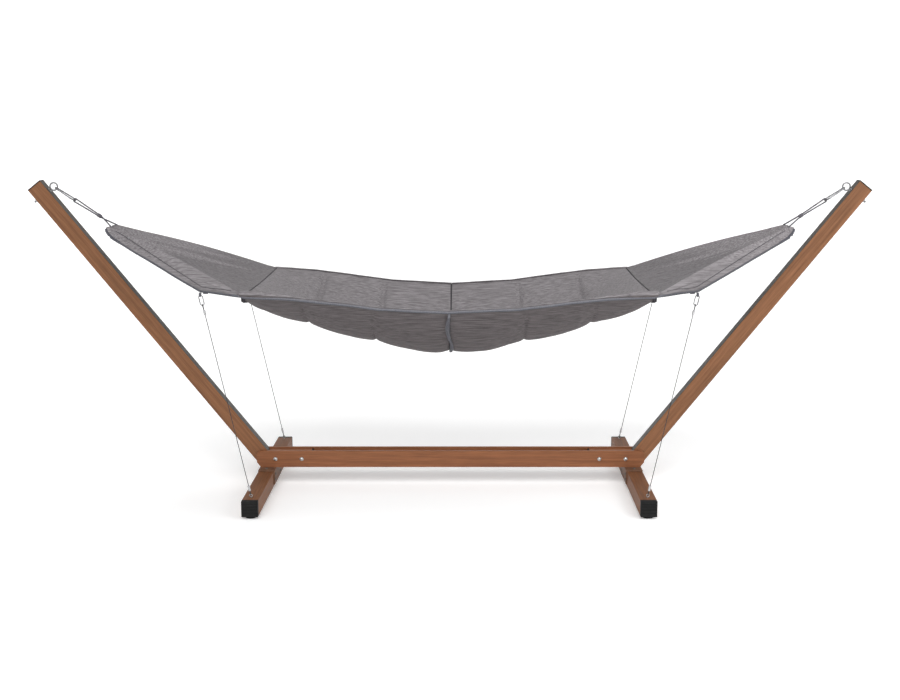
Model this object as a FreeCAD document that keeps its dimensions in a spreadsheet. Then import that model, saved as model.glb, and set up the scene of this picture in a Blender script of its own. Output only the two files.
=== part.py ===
import FreeCAD, Part
import math
import os
import Sketcher

V = FreeCAD.Vector
X, Y, Z = V(1, 0, 0), V(0, 1, 0), V(0, 0, 1)
doc = FreeCAD.newDocument("hammock_on_stand")

# Driving sizes in millimetres and degrees.
sheet = doc.addObject("Spreadsheet::Sheet", "sizes")
SIZES = [
    ("tube_wide", "70"), ("tube_deep", "55"), ("tube_wall", "2.5"), ("post_angle", "51.63"),
    ("post_long", "1600"), ("post_cap", "5"), ("elbow_half", "867"), ("plug_fit", "0.2"),
    ("board_thick", "15"), ("board_high", "76"), ("board_beyond", "18"), ("board_round", "22"),
    ("stub_long", "229"), ("bolt_first", "67"), ("bolt_second", "187"), ("bolt_dia", "10"),
    ("head_dia", "19"), ("hole_fit", "0.2"), ("foot_wide", "70"), ("foot_long", "1060"),
    ("foot_inset", "30"), ("foot_cap", "20"), ("glide_dia", "48"), ("glide_high", "10"),
    ("glide_inset", "15"), ("foot_eye_inset", "28"), ("plate_thick", "6"), ("plate_long", "196"),
    ("flange_deep", "60"), ("flange_bolt_inset", "18"), ("flange_bolt_top", "14"),
    ("flange_bolt_step", "26"), ("plate_bolt_out", "24.5"), ("tongue_wide", "40"),
    ("tongue_long", "106"), ("tongue_bolt_inset", "25"), ("small_bolt", "6"),
    ("eye_drop", "56"), ("eye_lift", "24"), ("eye_bend", "16.5"), ("eye_wire", "6.5"),
    ("eye_shank", "8"), ("link_gap", "0.5"), ("clip_long", "108"), ("clip_wide", "47"),
    ("clip_neck", "30.5"), ("rope_dia", "6.6"), ("whip_start", "226"), ("whip_long", "18"),
    ("cable_dia", "3"), ("snap_long", "46"), ("snap_wide", "20"), ("snap_wire", "4"),
    ("foot_eye_bend", "6"), ("foot_eye_wire", "3.2"), ("loop_gap", "1"),
    ("tip_half", "1500"), ("tip_high", "1185"), ("tip_wide", "48"), ("tip_band", "28"),
    ("corner_beyond", "170"), ("corner_wide", "500"), ("corner_high", "960"),
    ("pad_half", "850"), ("seam_first", "323.85"), ("seam_second", "610.3"),
    ("low_rise_first", "60"), ("low_rise_second", "140"), ("edge_first", "289"),
    ("edge_second", "501.5"), ("edge_third", "654.5"), ("pad_thick", "78"), ("pad_edge", "945"),
    ("middle_wide", "460"), ("middle_edge", "869"), ("middle_low", "680"),
    ("cloth_thick", "2.4"), ("edge_tape", "4"),
    # Places that follow from the sizes above.
    ("board_low", "=glide_high + foot_wide + plate_thick"),
    ("board_half", "=elbow_half + board_beyond"), ("stub_start", "=elbow_half - stub_long"),
    ("bolt_outer", "=elbow_half - bolt_first"), ("bolt_inner", "=elbow_half - bolt_second"),
    ("bolt_rise", "=glide_high + foot_wide + plate_thick + board_high / 2"),
    ("foot_half", "=elbow_half - foot_inset"), ("glide_set", "=foot_long / 2 - glide_inset"),
    ("foot_eye_out", "=foot_long / 2 - foot_eye_inset"),
    ("plate_bolt", "=tube_deep / 2 + board_thick + plate_bolt_out"),
    ("flange_bolt", "=plate_long / 2 - flange_bolt_inset"),
    ("flange_high", "=glide_high + foot_wide - flange_bolt_top"),
    ("flange_low", "=glide_high + foot_wide - flange_bolt_top - flange_bolt_step"),
    ("tongue_bolt", "=elbow_half - foot_inset - foot_wide / 2 - plate_thick - tongue_long + tongue_bolt_inset"),
    ("corner_half", "=pad_half + corner_beyond"),
]
for row, (name, value) in enumerate(SIZES, start=1):
    sheet.set("A%d" % row, name)
    sheet.set("B%d" % row, value)
    sheet.setAlias("B%d" % row, name)
doc.recompute()
K = {name: float(sheet.get(name)) for name, _ in SIZES}


def value(text):
    """Number that a sheet expression gives."""
    return float(sheet.evalExpression(text))


def at(offset=V(), axis=Z, angle=0):
    """Placement moved by an offset and turned about an axis."""
    return FreeCAD.Placement(offset, FreeCAD.Rotation(axis, angle))


def new_body(label, placement=None):
    """Named design body."""
    body = doc.addObject("PartDesign::Body", label)
    body.Label = label
    body.Placement = placement or at()
    return body


def new_sketch(body, role, offset):
    """Sketch on one of the body's base planes, moved along its normal."""
    sketch = body.newObject("Sketcher::SketchObject", body.Name + "_sketch")
    plane = [item for item in body.Origin.OriginFeatures if item.Role == role][0]
    sketch.AttachmentSupport = [(plane, "")]
    sketch.MapMode = "FlatFace"
    sketch.AttachmentOffset = at(V(0, 0, value(offset)))
    return sketch


def pin_to(sketch, geometry, vertex, pair):
    """Hold one sketch point at two sheet expressions."""
    for kind, text in zip(("DistanceX", "DistanceY"), pair):
        number = sketch.addConstraint(Sketcher.Constraint(kind, -1, 1, geometry, vertex, value(text)))
        sketch.setExpression("Constraints[%d]" % number, text)


def outline(body, role, points, offset="0"):
    """Closed outline through points given as pairs of sheet expressions."""
    sketch = new_sketch(body, role, offset)
    spots = [V(value(a), value(b), 0) for a, b in points]
    count = len(spots)
    for index in range(count):
        sketch.addGeometry(Part.LineSegment(spots[index], spots[(index + 1) % count]), False)
    for index in range(count):
        sketch.addConstraint(Sketcher.Constraint("Coincident", index, 2, (index + 1) % count, 1))
    for index, pair in enumerate(points):
        pin_to(sketch, index, 1, pair)
    return sketch


def feature(kind, body, sketch, length, both=True, back=False):
    """Pad or pocket of a sketch by a sheet expression."""
    item = body.newObject("PartDesign::" + kind, body.Name + "_" + kind.lower())
    item.Profile = sketch
    item.SideType = "Symmetric" if both else "One side"
    item.Reversed = back
    item.setExpression("Length", length)
    sketch.Visibility = False
    return item


def holes(body, role, offset, spots, diameter, length):
    """Round holes, cut both ways from a plane."""
    sketch = new_sketch(body, role, offset)
    for index, pair in enumerate(spots):
        centre = V(value(pair[0]), value(pair[1]), 0)
        sketch.addGeometry(Part.Circle(centre, V(0, 0, 1), value(diameter) / 2), False)
        pin_to(sketch, index, 3, pair)
        number = sketch.addConstraint(Sketcher.Constraint("Diameter", index, value(diameter)))
        sketch.setExpression("Constraints[%d]" % number, diameter)
    return feature("Pocket", body, sketch, length)


def round_edges(body, radius, chosen):
    """Fillet the edges whose middle and direction pass a test."""
    doc.recompute()
    last = body.Tip
    names = []
    for number, edge in enumerate(last.Shape.Edges, start=1):
        run = edge.Vertexes[-1].Point - edge.Vertexes[0].Point
        if chosen(edge.CenterOfMass, run):
            names.append("Edge%d" % number)
    fillet = body.newObject("PartDesign::Fillet", body.Name + "_fillet")
    fillet.Base = (last, names)
    fillet.setExpression("Radius", radius)
    return fillet


def piece(label, shapes, placement=None):
    """Named piece whose curved or repeated solids are built by code."""
    solids = [shape for shape in shapes]
    item = doc.addObject("Part::Feature", label)
    item.Label = label
    item.Shape = solids[0] if len(solids) == 1 else Part.makeCompound(solids)
    if placement:
        item.Placement = placement
    return item


def moved(shape, placement):
    """Copy of a shape at a placement."""
    copy = shape.copy()
    copy.Placement = placement.multiply(copy.Placement)
    return copy


def rod(radius, start, end):
    """Round bar between two points."""
    run = end - start
    return Part.makeCylinder(radius, run.Length, start, run)


def dome(diameter, rise):
    """Low domed head on the plane z = 0."""
    radius = (diameter * diameter / 4 + rise * rise) / (2 * rise)
    ball = Part.makeSphere(radius, V(0, 0, rise - radius))
    return ball.common(Part.makeCylinder(diameter, rise + 1))


def swept(edges, radius):
    """Round solid along a chain of edges."""
    wire = Part.Wire(edges)
    first = edges[0]
    start = first.valueAt(first.FirstParameter)
    circle = Part.Circle(start, first.tangentAt(first.FirstParameter), radius)
    return wire.makePipeShell([Part.Wire([circle.toShape()])], True, False, 2)


def strung(edges, radius):
    """Round cord along straight runs and arcs, with a ball at each bend."""
    cord = None
    for edge in edges:
        start, end = edge.valueAt(edge.FirstParameter), edge.valueAt(edge.LastParameter)
        straight = isinstance(edge.Curve, (Part.Line, Part.LineSegment))
        part = rod(radius, start, end) if straight else swept([edge], radius)
        cord = part if cord is None else cord.fuse([Part.makeSphere(radius, start), part])
    return cord.removeSplitter()


SIDES = (("right", at()), ("left", at(V(), Z, 180)))
half_mitre = "tan(sizes.post_angle / 2)"

# Beam: two parallel boards. Their lower outer corners follow the posts' outer edges.
rise = "sizes.board_low + (sizes.board_half - sizes.elbow_half) * tan(sizes.post_angle)"
top = "sizes.board_low + sizes.board_high"
board_points = [
    ("-sizes.elbow_half", "sizes.board_low"), ("sizes.elbow_half", "sizes.board_low"),
    ("sizes.board_half", rise), ("sizes.board_half", top),
    ("-sizes.board_half", top), ("-sizes.board_half", rise),
]
bolt_spots = [(sign + "sizes." + name, "sizes.bolt_rise")
              for name in ("bolt_outer", "bolt_inner") for sign in ("", "-")]
for label, shift in (("beam_board_front", "-sizes.tube_deep / 2"),
                     ("beam_board_back", "sizes.tube_deep / 2 + sizes.board_thick")):
    board = new_body(label)
    board.setExpression("Placement.Base.y", shift)
    feature("Pad", board, outline(board, "XZ_Plane", board_points), "sizes.board_thick", False)
    holes(board, "XZ_Plane", "0", bolt_spots, "sizes.bolt_dia + 2 * sizes.hole_fit", "100")
    round_edges(board, "sizes.board_round",
                lambda spot, run: spot.z > value(top) - 1 and abs(run.y) > 1 and abs(run.x) < 1)

# Posts, their horizontal stubs between the boards, and the plugs that close both.
end = "sizes.post_long"
eye_along = "sizes.post_long + sizes.post_cap - sizes.eye_drop"
inner_low = "sizes.board_low + sizes.tube_wall"
inner_high = "sizes.board_low + sizes.tube_wide - sizes.tube_wall"
plug_low = "sizes.board_low + sizes.tube_wall + sizes.plug_fit"
plug_high = "sizes.board_low + sizes.tube_wide - sizes.tube_wall - sizes.plug_fit"
hollow = "sizes.tube_deep - 2 * sizes.tube_wall"
for side, turn in SIDES:
    lean = turn.multiply(at(V(K["elbow_half"], 0, K["board_low"]), Y, -K["post_angle"]))
    post = new_body("post_" + side, lean)
    shape = outline(post, "XZ_Plane", [
        ("0", "0"), (end, "0"), (end, "sizes.tube_wide"),
        ("sizes.tube_wide * " + half_mitre, "sizes.tube_wide")])
    feature("Pad", post, shape, "sizes.tube_deep")
    shape = outline(post, "XZ_Plane", [
        ("sizes.tube_wall * %s - 3" % half_mitre, "sizes.tube_wall"),
        (end + " + 3", "sizes.tube_wall"), (end + " + 3", "sizes.tube_wide - sizes.tube_wall"),
        ("(sizes.tube_wide - sizes.tube_wall) * %s - 3" % half_mitre,
         "sizes.tube_wide - sizes.tube_wall")])
    feature("Pocket", post, shape, hollow)
    holes(post, "XY_Plane", "0", [(eye_along, "0")], "sizes.eye_shank + 2 * sizes.hole_fit", "400")

    cap = new_body("post_cap_" + side, lean)
    shape = outline(cap, "XZ_Plane", [
        (end, "0"), (end + " + sizes.post_cap", "0"),
        (end + " + sizes.post_cap", "sizes.tube_wide"), (end, "sizes.tube_wide")])
    feature("Pad", cap, shape, "sizes.tube_deep")
    low = "sizes.tube_wall + sizes.plug_fit"
    high = "sizes.tube_wide - sizes.tube_wall - sizes.plug_fit"
    shape = outline(cap, "XZ_Plane", [
        (end + " - 20", low), (end + " + 1", low), (end + " + 1", high), (end + " - 20", high)])
    feature("Pad", cap, shape, hollow + " - 2 * sizes.plug_fit")
    edge_at = K["post_long"] + K["post_cap"]
    round_edges(cap, "1.5", lambda spot, run: spot.x > edge_at - 0.1)

    stub = new_body("stub_" + side, turn)
    shape = outline(stub, "XZ_Plane", [
        ("sizes.stub_start", "sizes.board_low"), ("sizes.elbow_half", "sizes.board_low"),
        ("sizes.elbow_half - sizes.tube_wide * " + half_mitre, "sizes.board_low + sizes.tube_wide"),
        ("sizes.stub_start", "sizes.board_low + sizes.tube_wide")])
    feature("Pad", stub, shape, "sizes.tube_deep")
    shape = outline(stub, "XZ_Plane", [
        ("sizes.stub_start - 3", inner_low),
        ("sizes.elbow_half - sizes.tube_wall * %s + 3" % half_mitre, inner_low),
        ("sizes.elbow_half - (sizes.tube_wide - sizes.tube_wall) * %s + 3" % half_mitre, inner_high),
        ("sizes.stub_start - 3", inner_high)])
    feature("Pocket", stub, shape, hollow)
    holes(stub, "XZ_Plane", "0", bolt_spots[0::2], "sizes.bolt_dia + 2 * sizes.hole_fit", "100")
    holes(stub, "XY_Plane", "sizes.board_low", [("sizes.tongue_bolt", "0")],
          "sizes.small_bolt + 2 * sizes.hole_fit", "12")

    plug = new_body("stub_plug_" + side, turn)
    middle = "sizes.board_low + sizes.tube_wide / 2"
    shape = outline(plug, "XZ_Plane", [
        ("sizes.stub_start", "sizes.board_low"),
        ("sizes.stub_start", "sizes.board_low + sizes.tube_wide"),
        ("sizes.stub_start - 5", "sizes.board_low + sizes.tube_wide"),
        ("sizes.stub_start - 18", middle), ("sizes.stub_start - 5", "sizes.board_low")])
    feature("Pad", plug, shape, "sizes.tube_deep - 2 * sizes.plug_fit")
    shape = outline(plug, "XZ_Plane", [
        ("sizes.stub_start - 1", plug_low), ("sizes.stub_start + 20", plug_low),
        ("sizes.stub_start + 20", plug_high), ("sizes.stub_start - 1", plug_high)])
    feature("Pad", plug, shape, hollow + " - 2 * sizes.plug_fit")

# Feet: square tubes across the beam with ribbed end caps and round glides.
foot_low = "sizes.glide_high"
foot_top = "sizes.glide_high + sizes.foot_wide"
flange_spots = [(sign + "sizes.flange_bolt", "sizes." + spot)
                for sign in ("", "-") for spot in ("flange_low", "flange_high")]
plate_spots = [("0", "sizes.plate_bolt"), ("0", "-sizes.plate_bolt")]


def square(inset, reach="0"):
    """Corner points of the foot's section, inset on every side."""
    wide = "(sizes.foot_wide / 2 - %s + %s)" % (inset, reach)
    low_side = "%s + %s" % (foot_low, inset)
    high_side = "%s - %s" % (foot_top, inset)
    return [("-" + wide, low_side), (wide, low_side), (wide, high_side), ("-" + wide, high_side)]


for side, turn in SIDES:
    middle_at = turn.multiply(at(V(K["foot_half"], 0, 0)))
    foot = new_body("foot_" + side, middle_at)
    feature("Pad", foot, outline(foot, "XZ_Plane", square("0")), "sizes.foot_long")
    round_edges(foot, "3", lambda spot, run: abs(run.y) > 100)
    feature("Pocket", foot, outline(foot, "XZ_Plane", square("sizes.tube_wall")),
            "sizes.foot_long + 10")
    holes(foot, "XY_Plane", foot_top, plate_spots,
          "sizes.small_bolt + 2 * sizes.hole_fit", "12")
    holes(foot, "XY_Plane", foot_top, [("0", "sizes.foot_eye_out"), ("0", "-sizes.foot_eye_out")],
          "sizes.foot_eye_wire + 2 * sizes.hole_fit", "12")
    holes(foot, "YZ_Plane", "-sizes.foot_wide / 2", flange_spots,
          "sizes.small_bolt + 2 * sizes.hole_fit", "12")

    bracket = new_body("base_bracket_" + side, middle_at)
    shape = outline(bracket, "XZ_Plane", [
        ("-sizes.foot_wide / 2 - sizes.plate_thick", foot_top + " - sizes.flange_deep"),
        ("-sizes.foot_wide / 2", foot_top + " - sizes.flange_deep"),
        ("-sizes.foot_wide / 2", foot_top), ("sizes.foot_wide / 2", foot_top),
        ("sizes.foot_wide / 2", "sizes.board_low"),
        ("-sizes.foot_wide / 2 - sizes.plate_thick", "sizes.board_low")])
    feature("Pad", bracket, shape, "sizes.plate_long")
    shape = outline(bracket, "XZ_Plane", [
        ("-sizes.foot_wide / 2 - sizes.plate_thick - sizes.tongue_long", foot_top),
        ("-sizes.foot_wide / 2 - 1", foot_top), ("-sizes.foot_wide / 2 - 1", "sizes.board_low"),
        ("-sizes.foot_wide / 2 - sizes.plate_thick - sizes.tongue_long", "sizes.board_low")])
    feature("Pad", bracket, shape, "sizes.tongue_wide")
    holes(bracket, "XY_Plane", foot_top,
          plate_spots + [("sizes.tongue_bolt - sizes.foot_half", "0")],
          "sizes.small_bolt + 2 * sizes.hole_fit", "20")
    holes(bracket, "YZ_Plane", "-sizes.foot_wide / 2", flange_spots,
          "sizes.small_bolt + 2 * sizes.hole_fit", "20")

    for place, spin in (("front", 0), ("back", 180)):
        where = middle_at.multiply(at(V(), Z, spin)).multiply(at(V(0, -K["foot_long"] / 2, 0)))
        name = place if side == "right" else {"front": "back", "back": "front"}[place]
        cap = new_body("foot_cap_%s_%s" % (name, side), where)
        feature("Pad", cap, outline(cap, "XZ_Plane", square("0")), "sizes.foot_cap", False)
        shape = outline(cap, "XZ_Plane", square("(sizes.tube_wall + sizes.plug_fit)"), "-18")
        feature("Pad", cap, shape, "19", False)
        for step in (-22, -9, 4, 17):
            low = "%s + sizes.foot_wide / 2 + %d" % (foot_low, step)
            high = "%s + sizes.foot_wide / 2 + %d" % (foot_low, step + 5)
            wide = "(sizes.foot_wide / 2 - 4)"
            shape = outline(cap, "XZ_Plane", [
                ("-" + wide, low), (wide, low), (wide, high), ("-" + wide, high)], "sizes.foot_cap")
            feature("Pocket", cap, shape, "4")
        edge_at = K["foot_cap"]
        round_edges(cap, "3", lambda spot, run: spot.y < -edge_at / 3 and abs(run.y) > 5
                    and abs(abs(spot.x) - K["foot_wide"] / 2) < 0.1)

    glide = Part.makeCone(K["glide_dia"] / 2 - 2, K["glide_dia"] / 2, 2)
    glide = glide.fuse(Part.makeCylinder(K["glide_dia"] / 2, K["glide_high"] - 2, V(0, 0, 2)))
    piece("glides_" + side, [
        moved(glide.removeSplitter(), middle_at.multiply(at(V(0, sign * K["glide_set"], 0))))
        for sign in (-1, 1)])

# Fasteners of the base: domed through bolts in the beam, small bolts in the brackets.
span = K["tube_deep"] + 2 * K["board_thick"]
head = dome(K["head_dia"], 5)
through = rod(K["bolt_dia"] / 2, V(0, 0, -span), V(0, 0, 0.5)).fuse(head)
through = through.fuse(moved(head, at(V(0, 0, -span), X, 180)))
piece("beam_bolts", [
    moved(through, at(V(sign * K[name], -span / 2, K["bolt_rise"]), X, 90))
    for sign in (-1, 1) for name in ("bolt_outer", "bolt_inner")])

small = rod(K["small_bolt"] / 2, V(0, 0, -14), V(0, 0, 0.5)).fuse(dome(13, 4.5))
inner_face = K["foot_half"] - K["foot_wide"] / 2 - K["plate_thick"]
spots = [at(V(K["foot_half"], sign * K["plate_bolt"], K["board_low"])) for sign in (-1, 1)]
spots += [at(V(inner_face, value(a), value(b)), Y, -90) for a, b in flange_spots]
spots.append(at(V(K["tongue_bolt"], 0, K["board_low"] - K["plate_thick"]), X, 180))
piece("bracket_bolts", [moved(small, turn.multiply(spot)) for side, turn in SIDES for spot in spots])


def clip(length, neck, wide, wire):
    """Snap link in its own plane: its frame and its sprung gate, and the gate's pivot point."""
    r = wire / 2
    small_r, big_r, run = neck / 2 - r, wide / 2 - r, length - wire
    first, last = V(small_r, 0, 0), V(run - big_r, 0, 0)
    lean_sine = (big_r - small_r) / (last - first).Length
    out = V(-lean_sine, math.sqrt(1 - lean_sine * lean_sine), 0)
    back = V(out.x, -out.y, 0)
    a0, a1 = first + out * small_r, last + out * big_r
    b0, b1 = first + back * small_r, last + back * big_r
    along = (a1 - a0).normalize()
    nose = a1 - along * (0.14 * (a1 - a0).Length)
    knuckle = a0 + along * (0.06 * (a1 - a0).Length)
    pivot = knuckle + along * (0.75 * wire)
    frame = swept([
        Part.makeLine(nose, a1), Part.Arc(a1, V(run, 0, 0), b1).toShape(), Part.makeLine(b1, b0),
        Part.Arc(b0, V(0, 0, 0), a0).toShape(), Part.makeLine(a0, knuckle)], r)
    turn_in = FreeCAD.Placement(pivot, FreeCAD.Rotation(X, along))
    tongue = Part.makeBox(0.75 * wire + 1, 0.8 * wire, 0.36 * wire,
                          V(-0.75 * wire - 1, -0.4 * wire, -0.18 * wire))
    tongue = tongue.fuse(Part.makeCylinder(0.4 * wire, 0.36 * wire, V(0, 0, -0.18 * wire)))
    tongue = tongue.cut(Part.makeCylinder(0.16 * wire + 0.05, wire, V(0, 0, -wire / 2)))
    frame = frame.fuse(moved(tongue, turn_in))
    reach = (nose - pivot).Length - 0.4
    gate = Part.makeCylinder(0.5 * wire, 0.94 * wire, V(0, 0, -0.47 * wire))
    gate = gate.fuse(rod(0.43 * wire, V(0, 0, 0), V(reach, 0, 0)))
    slot = Part.makeBox(1.7 * wire, 2 * wire, 0.36 * wire + 0.3,
                        V(-wire, -wire, -0.18 * wire - 0.15))
    gate = gate.cut(slot).fuse(Part.makeCylinder(0.16 * wire, 0.9 * wire, V(0, 0, -0.45 * wire)))
    return frame, moved(gate, turn_in), pivot


def plane_of(origin, along, across):
    """Placement whose x runs along one direction and y along another."""
    up = along.cross(across)
    return FreeCAD.Placement(origin, FreeCAD.Rotation(along, across, up, "XYZ"))


def strap(distance, spread, centre, radius):
    """Edges of a strand pair from a crimp, round a bar and back, in the plane z = 0."""
    gap = abs(centre - distance)
    way = 1 if centre > distance else -1
    reach = math.hypot(gap, spread)
    swing = math.asin(radius / reach) - math.atan2(spread, gap)
    touch = V(centre - way * radius * math.sin(swing), radius * math.cos(swing), 0)
    mirror = V(touch.x, -touch.y, 0)
    far = V(centre + way * radius, 0, 0)
    return [Part.makeLine(V(distance, spread, 0), touch),
            Part.Arc(touch, far, mirror).toShape(),
            Part.makeLine(mirror, V(distance, -spread, 0))]


def sleeve(start, length, radius, spread, strand):
    """Crimped sleeve round two strands along x."""
    body = rod(radius, V(start, 0, 0), V(start + length, 0, 0))
    bore = strand + 0.15
    for sign in (-1, 1):
        body = body.cut(rod(bore, V(start - 1, sign * spread, 0), V(start + length + 1, sign * spread, 0)))
    return body.cut(Part.makeBox(length + 2, 2 * spread, 2 * bore, V(start - 1, -spread, -bore)))


# Head of each post: eye bolt through the tube, its nut and washers, the large snap link in the
# eye, and the rope that runs from the link to the cloth in two strands.
angle = math.radians(K["post_angle"])
up_post = V(math.cos(angle), 0, math.sin(angle))
off_post = V(-math.sin(angle), 0, math.cos(angle))
elbow = V(K["elbow_half"], 0, K["board_low"])
along = K["post_long"] + K["post_cap"] - K["eye_drop"]
eye = elbow + up_post * along + off_post * (K["tube_wide"] + K["eye_lift"])
rope_end = V(K["tip_half"] + 3, 0, K["tip_high"] + 8)
chain = (rope_end - eye).normalize()
reach = (rope_end - eye).Length
wire = K["eye_wire"] / 2
strand = K["rope_dia"] / 2
ring = moved(Part.makeTorus(K["eye_bend"], wire), at(eye, X, 90))
thread = rod(K["eye_shank"] / 2, eye - off_post * K["eye_bend"],
             eye - off_post * (K["eye_lift"] + K["tube_wide"] + 18))
eye_bolt = ring.fuse(thread)
outer = eye - off_post * (K["eye_lift"] + K["tube_wide"])
inner = eye - off_post * K["eye_lift"]
bore = K["eye_shank"] / 2 + 0.1
stand_off = FreeCAD.Placement(V(), FreeCAD.Rotation(Z, off_post))
washer = Part.makeCylinder(10, 2).cut(Part.makeCylinder(bore, 2))
hexagon = [V(7.5 * math.cos(math.radians(60 * k)), 7.5 * math.sin(math.radians(60 * k)), 0)
           for k in range(7)]
nut = Part.Face(Part.makePolygon(hexagon)).extrude(V(0, 0, 7)).cut(Part.makeCylinder(bore, 7))
fixings = []
for shape, spot in ((washer, inner), (washer, outer - off_post * 2), (nut, outer - off_post * 9)):
    fixings.append(moved(shape, FreeCAD.Placement(spot, stand_off.Rotation)))

clip_start = K["eye_bend"] - wire - wire - K["link_gap"]
clip_frame, clip_gate, clip_pivot = clip(K["clip_long"], K["clip_neck"], K["clip_wide"], K["eye_wire"])
clip_end = clip_start + K["clip_long"] - K["eye_wire"]
turn_radius = wire + strand + K["link_gap"]
spread = strand + 0.2
whip_end = K["whip_start"] + K["whip_long"]
loop = strap(whip_end + 2, spread, clip_end, turn_radius)
rope_edges = [Part.makeLine(V(reach - 1, 0, K["tip_wide"] + 2), V(whip_end + 2, spread, 0))]
whip = sleeve(K["whip_start"], K["whip_long"], 8.5, spread, strand)
straight = K["whip_start"] - 2
loop = strap(straight, spread, clip_end, turn_radius)
rope_edges.append(Part.makeLine(V(whip_end + 2, spread, 0), V(straight, spread, 0)))
rope_edges += loop
rope_edges.append(Part.makeLine(V(straight, -spread, 0), V(whip_end + 2, -spread, 0)))
rope_edges.append(Part.makeLine(V(whip_end + 2, -spread, 0), V(reach - 1, 0, -K["tip_wide"] - 2)))
rope = strung(rope_edges, strand)

nuts = []
for side, turn in SIDES:
    piece("eye_bolt_" + side, [moved(eye_bolt, turn)])
    nuts += [moved(shape, turn) for shape in fixings]
    flat = turn.multiply(plane_of(eye + chain * clip_start, chain, Y))
    piece("carabiner_" + side, [moved(clip_frame, flat)])
    piece("carabiner_gate_" + side, [moved(clip_gate, flat)])
    upright = turn.multiply(plane_of(eye, chain, Y.cross(chain)))
    piece("rope_" + side, [moved(rope, upright)])
    piece("whipping_" + side, [moved(whip, upright)])
piece("eye_nuts", nuts)

# Four stays: eye screw in the foot, wire cable with a crimped loop at each end, small snap link.
corner = V(K["corner_half"], K["corner_wide"] + 2, K["corner_high"])
foot_eye = V(K["foot_half"], K["foot_eye_out"], K["glide_high"] + K["foot_wide"] + K["foot_eye_bend"] + 4)
loop_centre = corner - Z * 15
hook_top = loop_centre + Z * (K["snap_wire"] / 2 + 2 + K["loop_gap"] - 8)
stay_long = (hook_top - foot_eye).Length
thin, core = K["foot_eye_wire"] / 2, K["cable_dia"] / 2
screw = moved(Part.makeTorus(K["foot_eye_bend"], thin), at(V(), X, 90))
screw = screw.fuse(rod(thin, V(0, 0, -K["foot_eye_bend"]), V(0, 0, -24)))
snap_frame, snap_gate, snap_pivot = clip(K["snap_long"], K["snap_wide"], K["snap_wide"], K["snap_wire"])
snap_start = stay_long - K["snap_long"] + K["snap_wire"]
low_sleeve, high_sleeve = 22, snap_start - 42
gap = core + 0.15
low_turn = thin + core + K["link_gap"]
high_turn = K["snap_wire"] / 2 + core + K["link_gap"]
low_loop = strap(low_sleeve - 1, gap, K["foot_eye_bend"], low_turn)
high_loop = strap(high_sleeve + 21, gap, snap_start, high_turn)
cable_edges = [Part.makeLine(V(low_sleeve + 21, gap, 0), V(low_sleeve - 1, gap, 0))]
cable_edges += low_loop
cable_edges.append(Part.makeLine(V(low_sleeve - 1, -gap, 0), V(high_sleeve + 21, -gap, 0)))
cable_edges += [Part.makeLine(V(high_sleeve + 21, -gap, 0), high_loop[2].Vertexes[0].Point),
                high_loop[1], high_loop[0]]
cable_edges.append(Part.makeLine(V(high_sleeve + 21, gap, 0), V(high_sleeve, gap, 0)))
cable = strung(cable_edges, core)
sleeves = [sleeve(low_sleeve, 22, 5, gap, core), sleeve(high_sleeve, 20, 5, gap, core)]

screws = []
for side, turn in SIDES:
    for place, sign in (("front", -1), ("back", 1)):
        flip = sign if side == "right" else -sign
        base = V(foot_eye.x, flip * foot_eye.y, foot_eye.z)
        stay = (V(hook_top.x, flip * hook_top.y, hook_top.z) - base).normalize()
        beside = (Y - stay * stay.dot(Y)).normalize()
        screws.append(moved(screw, turn.multiply(at(base))))
        name = "%s_%s" % (place, side)
        sheer = turn.multiply(plane_of(base, stay, beside))
        piece("stay_cable_" + name, [moved(cable, sheer)])
        piece("stay_ferrules_" + name, [moved(shape, sheer) for shape in sleeves])
        face = turn.multiply(plane_of(base + stay * snap_start, stay, stay.cross(beside)))
        piece("snap_hook_" + name, [moved(snap_frame, face)])
        piece("snap_gate_" + name, [moved(snap_gate, face)])
piece("foot_eye_screws", screws)


# Cloth: two quilted pads that meet at the middle seam, a single-layer sail at each end, tape
# along both long edges, bound seams underneath, a band at each tip and a loop at each corner.
def blend(table, spot):
    """Straight-line value between the pairs of a table."""
    for (a, low), (b, high) in zip(table, table[1:]):
        if spot <= b:
            return low + (high - low) * (spot - a) / (b - a)
    return table[-1][1]


seams = [0, K["seam_first"], K["seam_second"], K["pad_half"]]
low_line = [(0, K["middle_low"]), (seams[1], K["middle_low"] + K["low_rise_first"]),
            (seams[2], K["middle_low"] + K["low_rise_second"]), (seams[3], K["pad_edge"] - 23)]
edge_line = [(0, K["middle_edge"]), (K["edge_first"], K["middle_edge"] + 15),
             (K["edge_second"], K["middle_edge"] + 43), (K["edge_third"], K["pad_edge"] - 15),
             (K["pad_half"], K["pad_edge"])]


def pad_wide(x):
    """Half width of the pad."""
    return K["middle_wide"] + (K["corner_wide"] - K["middle_wide"]) * (x / K["pad_half"]) ** 1.5


def puff(x):
    """How full the quilted channel is: 0 on a seam, 1 in its middle."""
    for a, b in zip(seams, seams[1:]):
        if x <= b:
            return math.sqrt(max(0.0, math.sin(math.pi * (x - a) / (b - a))))
    return 0.0


def pad_top(x, share):
    """Height of the pad's upper face at a share of its half width."""
    centre = blend(low_line, x) + 6 * puff(x)
    return centre + (blend(edge_line, x) - centre) * abs(share) ** 2.2


def pad_low(x, share):
    """Height of the pad's lower face."""
    on_seam = blend([(0, 38), (seams[1], 50), (seams[2], 48), (K["pad_half"], 24)], x)
    on_seam = min(on_seam, K["pad_thick"])
    middle = on_seam + (K["pad_thick"] - on_seam) * puff(x)
    rim = 10
    return pad_top(x, share) - rim - (middle - rim) * (1 - abs(share) ** 5)


SHARES = [math.sin(math.pi * k / 16) for k in range(-8, 9)]


def spline(points):
    """Smooth edge through points."""
    curve = Part.BSplineCurve()
    curve.interpolate(points)
    return curve.toShape()


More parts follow.
